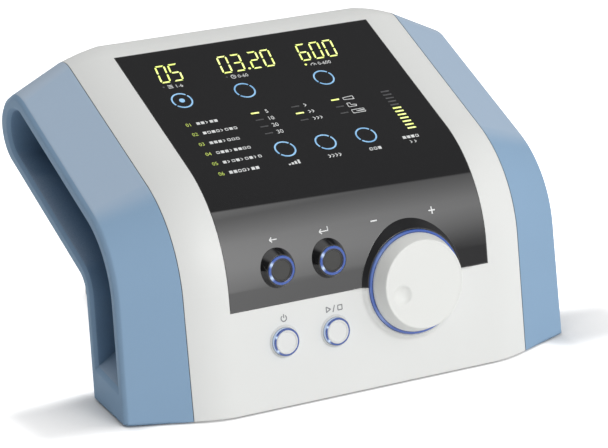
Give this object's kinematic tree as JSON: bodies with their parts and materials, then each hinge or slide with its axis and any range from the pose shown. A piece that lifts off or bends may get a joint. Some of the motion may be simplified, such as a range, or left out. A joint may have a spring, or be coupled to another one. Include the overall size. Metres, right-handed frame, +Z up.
{
  "type": "compression therapy pump",
  "caption": "Table-top air compression therapy pump with a sloping dark touch panel, a lit rotary knob, round push buttons and side covers with grip recesses.",
  "frame": {"origin": "on the table, in the middle of the whole unit's width and depth", "axes": "+X to the user's right, +Y to the back, +Z up"},
  "size_m": [0.3196, 0.27, 0.1922],
  "materials": {
    "white_shell": "white, smooth satin to gloss",
    "blue_shell": "grey blue, satin",
    "panel_black": "near black, glossy",
    "rear_grey": "light grey, fine texture",
    "cap_dark": "dark grey, satin",
    "cap_white": "white, satin",
    "bezel_black": "near black, glossy",
    "light_guide": "clear blue, lit from behind",
    "knob_white": "white, satin",
    "rubber": "matt",
    "base_grey": "matt grey",
    "board_green": "circuit board",
    "black_plastic": "matt black",
    "display_grey": "dark grey",
    "steel": "plain",
    "aluminium": "cast",
    "brass": "plain",
    "hose": "soft clear grey"
  },
  "bodies": {
    "housing": {"front_cover": "white_shell", "control_panel": "panel_black", "side_cover_right": "blue_shell", "side_cover_left": "blue_shell", "esc_light_ring": "light_guide", "esc_bezel": "bezel_black", "enter_light_ring": "light_guide", "enter_bezel": "bezel_black", "on_off_light_ring": "light_guide", "start_stop_light_ring": "light_guide", "knob_light_ring": "light_guide", "encoder_body": "steel", "encoder_nut": "brass", "button_board": "board_green", "push_switches": "black_plastic", "display_board": "board_green", "program_display": "display_grey", "time_display": "display_grey", "power_display": "display_grey", "bar_display": "display_grey", "touch_electrodes": "brass", "rear_cover": "rear_grey", "base_plate": "base_grey", "base_screws": "steel", "rubber_feet": "rubber", "hose_port_left": "base_grey", "hose_port_right": "base_grey", "outlet_hoses": "hose", "valve_manifold": "aluminium", "solenoid_valves": "steel", "manifold_posts": "steel", "mains_inlet": "black_plastic", "inlet_pins": "brass", "fan_frame": "black_plastic", "compressor_motor": "steel", "compressor_head_left": "aluminium", "compressor_head_right": "aluminium", "compressor_bracket": "steel", "compressor_mounts": "rubber", "supply_hose": "hose", "power_supply_board": "board_green", "power_supply_parts": "black_plastic", "main_board": "board_green", "main_board_parts": "black_plastic", "board_standoffs": "brass"},
    "knob": {"knob": "knob_white", "encoder_shaft": "steel"},
    "esc": {"esc_button": "cap_dark"},
    "enter": {"enter_button": "cap_dark"},
    "on_off": {"on_off_button": "cap_white"},
    "start_stop": {"start_stop_button": "cap_white"},
    "fan": {"fan_rotor": "black_plastic"},
    "rocker": {"mains_rocker": "black_plastic"},
    "fuse_tray": {"fuse_drawer": "black_plastic"}
  },
  "joints": [
    {"name": "knob_turn", "type": "hinge", "parent": "housing", "child": "knob", "pos_m": [0.0363, -0.11597, 0.06324], "axis": [0, -0.9863, 0.165], "continuous": true},
    {"name": "esc_press", "type": "slide", "parent": "housing", "child": "esc", "axis": [0, 0.9863, -0.165], "range_m": [0, 0.0015], "stiffness_N_per_m": 800},
    {"name": "enter_press", "type": "slide", "parent": "housing", "child": "enter", "axis": [0, 0.9863, -0.165], "range_m": [0, 0.0015], "stiffness_N_per_m": 800},
    {"name": "on_off_press", "type": "slide", "parent": "housing", "child": "on_off", "axis": [0, 0.9863, -0.165], "range_m": [0, 0.0015], "stiffness_N_per_m": 800},
    {"name": "start_stop_press", "type": "slide", "parent": "housing", "child": "start_stop", "axis": [0, 0.9863, -0.165], "range_m": [0, 0.0015], "stiffness_N_per_m": 800},
    {"name": "fan_spin", "type": "hinge", "parent": "housing", "child": "fan", "pos_m": [-0.032, 0.1117, 0.056], "axis": [0, 1, 0], "continuous": true},
    {"name": "rocker_tip", "type": "hinge", "parent": "housing", "child": "rocker", "pos_m": [0.04, 0.1212, 0.0685], "axis": [1, 0, 0], "range_deg": [0, 16]},
    {"name": "fuse_slide", "type": "slide", "parent": "housing", "child": "fuse_tray", "axis": [0, 1, 0], "range_m": [0, 0.012]}
  ]
}
